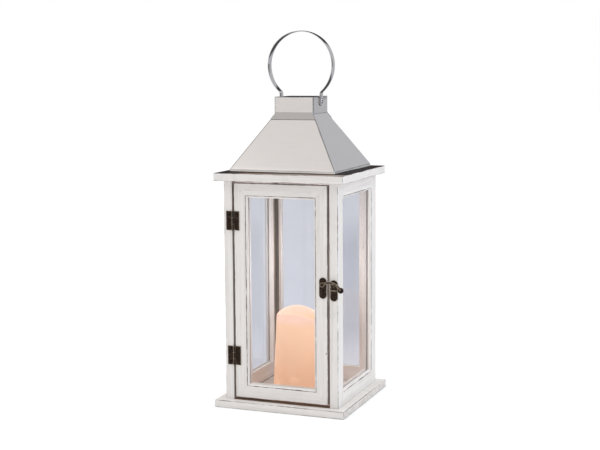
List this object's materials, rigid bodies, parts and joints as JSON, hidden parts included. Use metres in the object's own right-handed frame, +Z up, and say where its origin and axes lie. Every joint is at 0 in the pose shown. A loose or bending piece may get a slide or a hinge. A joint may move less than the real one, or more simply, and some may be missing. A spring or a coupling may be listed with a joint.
{
  "type": "candle lantern",
  "caption": "Square glazed wooden lantern with a latched front door, a sheet-steel pyramid roof with a neck and ring handle, and a battery candle standing inside.",
  "frame": {"origin": "centre of the underside of the base plate", "axes": "+Z up, -Y out of the front face with the door, +X to the right as seen from the front"},
  "size_m": [0.15, 0.15, 0.4111],
  "materials": {
    "painted_wood": "whitewashed, brush marks and grain showing, rubbed dark along the edges",
    "glass": "clear float glass with a faint cool tint",
    "roof_steel": "bright satin sheet steel",
    "polished_steel": "mirror-polished steel strap",
    "antique_bronze": "dark antiqued bronze, brighter on its edges",
    "zinc": "zinc-plated",
    "wax": "translucent wax-like plastic, lit from inside",
    "flame": "frosted, translucent, lit from inside",
    "lamp": "clear lens",
    "ivory_plastic": "fine moulded texture",
    "black_plastic": "fine moulded texture",
    "board": "lacquered circuit board",
    "cell": "satin printed sleeve with no marking"
  },
  "bodies": {
    "lantern_body": {"base_plate": "painted_wood", "top_plate": "painted_wood", "left_front_stile": "painted_wood", "left_back_stile": "painted_wood", "left_top_rail": "painted_wood", "left_bottom_rail": "painted_wood", "right_front_stile": "painted_wood", "right_back_stile": "painted_wood", "right_top_rail": "painted_wood", "right_bottom_rail": "painted_wood", "back_left_stile": "painted_wood", "back_right_stile": "painted_wood", "back_top_rail": "painted_wood", "back_bottom_rail": "painted_wood", "left_glass": "glass", "right_glass": "glass", "back_glass": "glass", "base_screws": "zinc", "top_screws": "zinc", "roof_shell": "roof_steel", "roof_screws": "zinc", "neck": "roof_steel", "handle_rivets": "polished_steel", "upper_hinge_post_leaf": "antique_bronze", "lower_hinge_post_leaf": "antique_bronze", "upper_hinge_pin": "antique_bronze", "lower_hinge_pin": "antique_bronze", "post_hinge_nails": "antique_bronze", "keeper_plate": "antique_bronze", "keeper_peg": "antique_bronze", "keeper_nails": "antique_bronze"},
    "handle": {"handle_strap": "polished_steel"},
    "door": {"door_hinge_stile": "painted_wood", "door_latch_stile": "painted_wood", "door_top_rail": "painted_wood", "door_bottom_rail": "painted_wood", "door_glass": "glass", "upper_hinge_door_leaf": "antique_bronze", "lower_hinge_door_leaf": "antique_bronze", "door_hinge_nails": "antique_bronze", "latch_plate": "antique_bronze", "latch_nails": "antique_bronze", "latch_rivet": "antique_bronze"},
    "hook": {"latch_hook": "antique_bronze"},
    "candle": {"candle_shell": "wax", "flame_tip": "flame", "candle_base": "ivory_plastic", "circuit_board": "board", "candle_led": "lamp", "board_screws": "zinc", "battery_cells": "cell", "upper_contacts": "zinc", "switch_body": "black_plastic"},
    "cover": {"battery_cover": "ivory_plastic", "cover_contacts": "zinc"},
    "slider": {"switch_slider": "black_plastic"}
  },
  "joints": [
    {"name": "door_swing", "type": "hinge", "parent": "lantern_body", "child": "door", "pos_m": [-0.055, -0.0668, 0.127], "axis": [0, 0, -1], "range_deg": [0, 170]},
    {"name": "hook_lift", "type": "hinge", "parent": "door", "child": "hook", "pos_m": [0.04874, -0.069, 0.1424], "axis": [0, -1, 0], "range_deg": [0, 95]},
    {"name": "handle_fold", "type": "hinge", "parent": "lantern_body", "child": "handle", "pos_m": [0, 0, 0.3345], "axis": [1, 0, 0], "range_deg": [-125, 125]},
    {"name": "candle_lift", "type": "slide", "parent": "lantern_body", "child": "candle", "axis": [0, 0, 1], "range_m": [0, 0.08]},
    {"name": "cover_twist", "type": "hinge", "parent": "candle", "child": "cover", "pos_m": [0, 0, 0.0095], "axis": [0, 0, -1], "range_deg": [0, 30]},
    {"name": "switch_slide", "type": "slide", "parent": "candle", "child": "slider", "axis": [1, 0, 0], "range_m": [0, 0.003]}
  ]
}
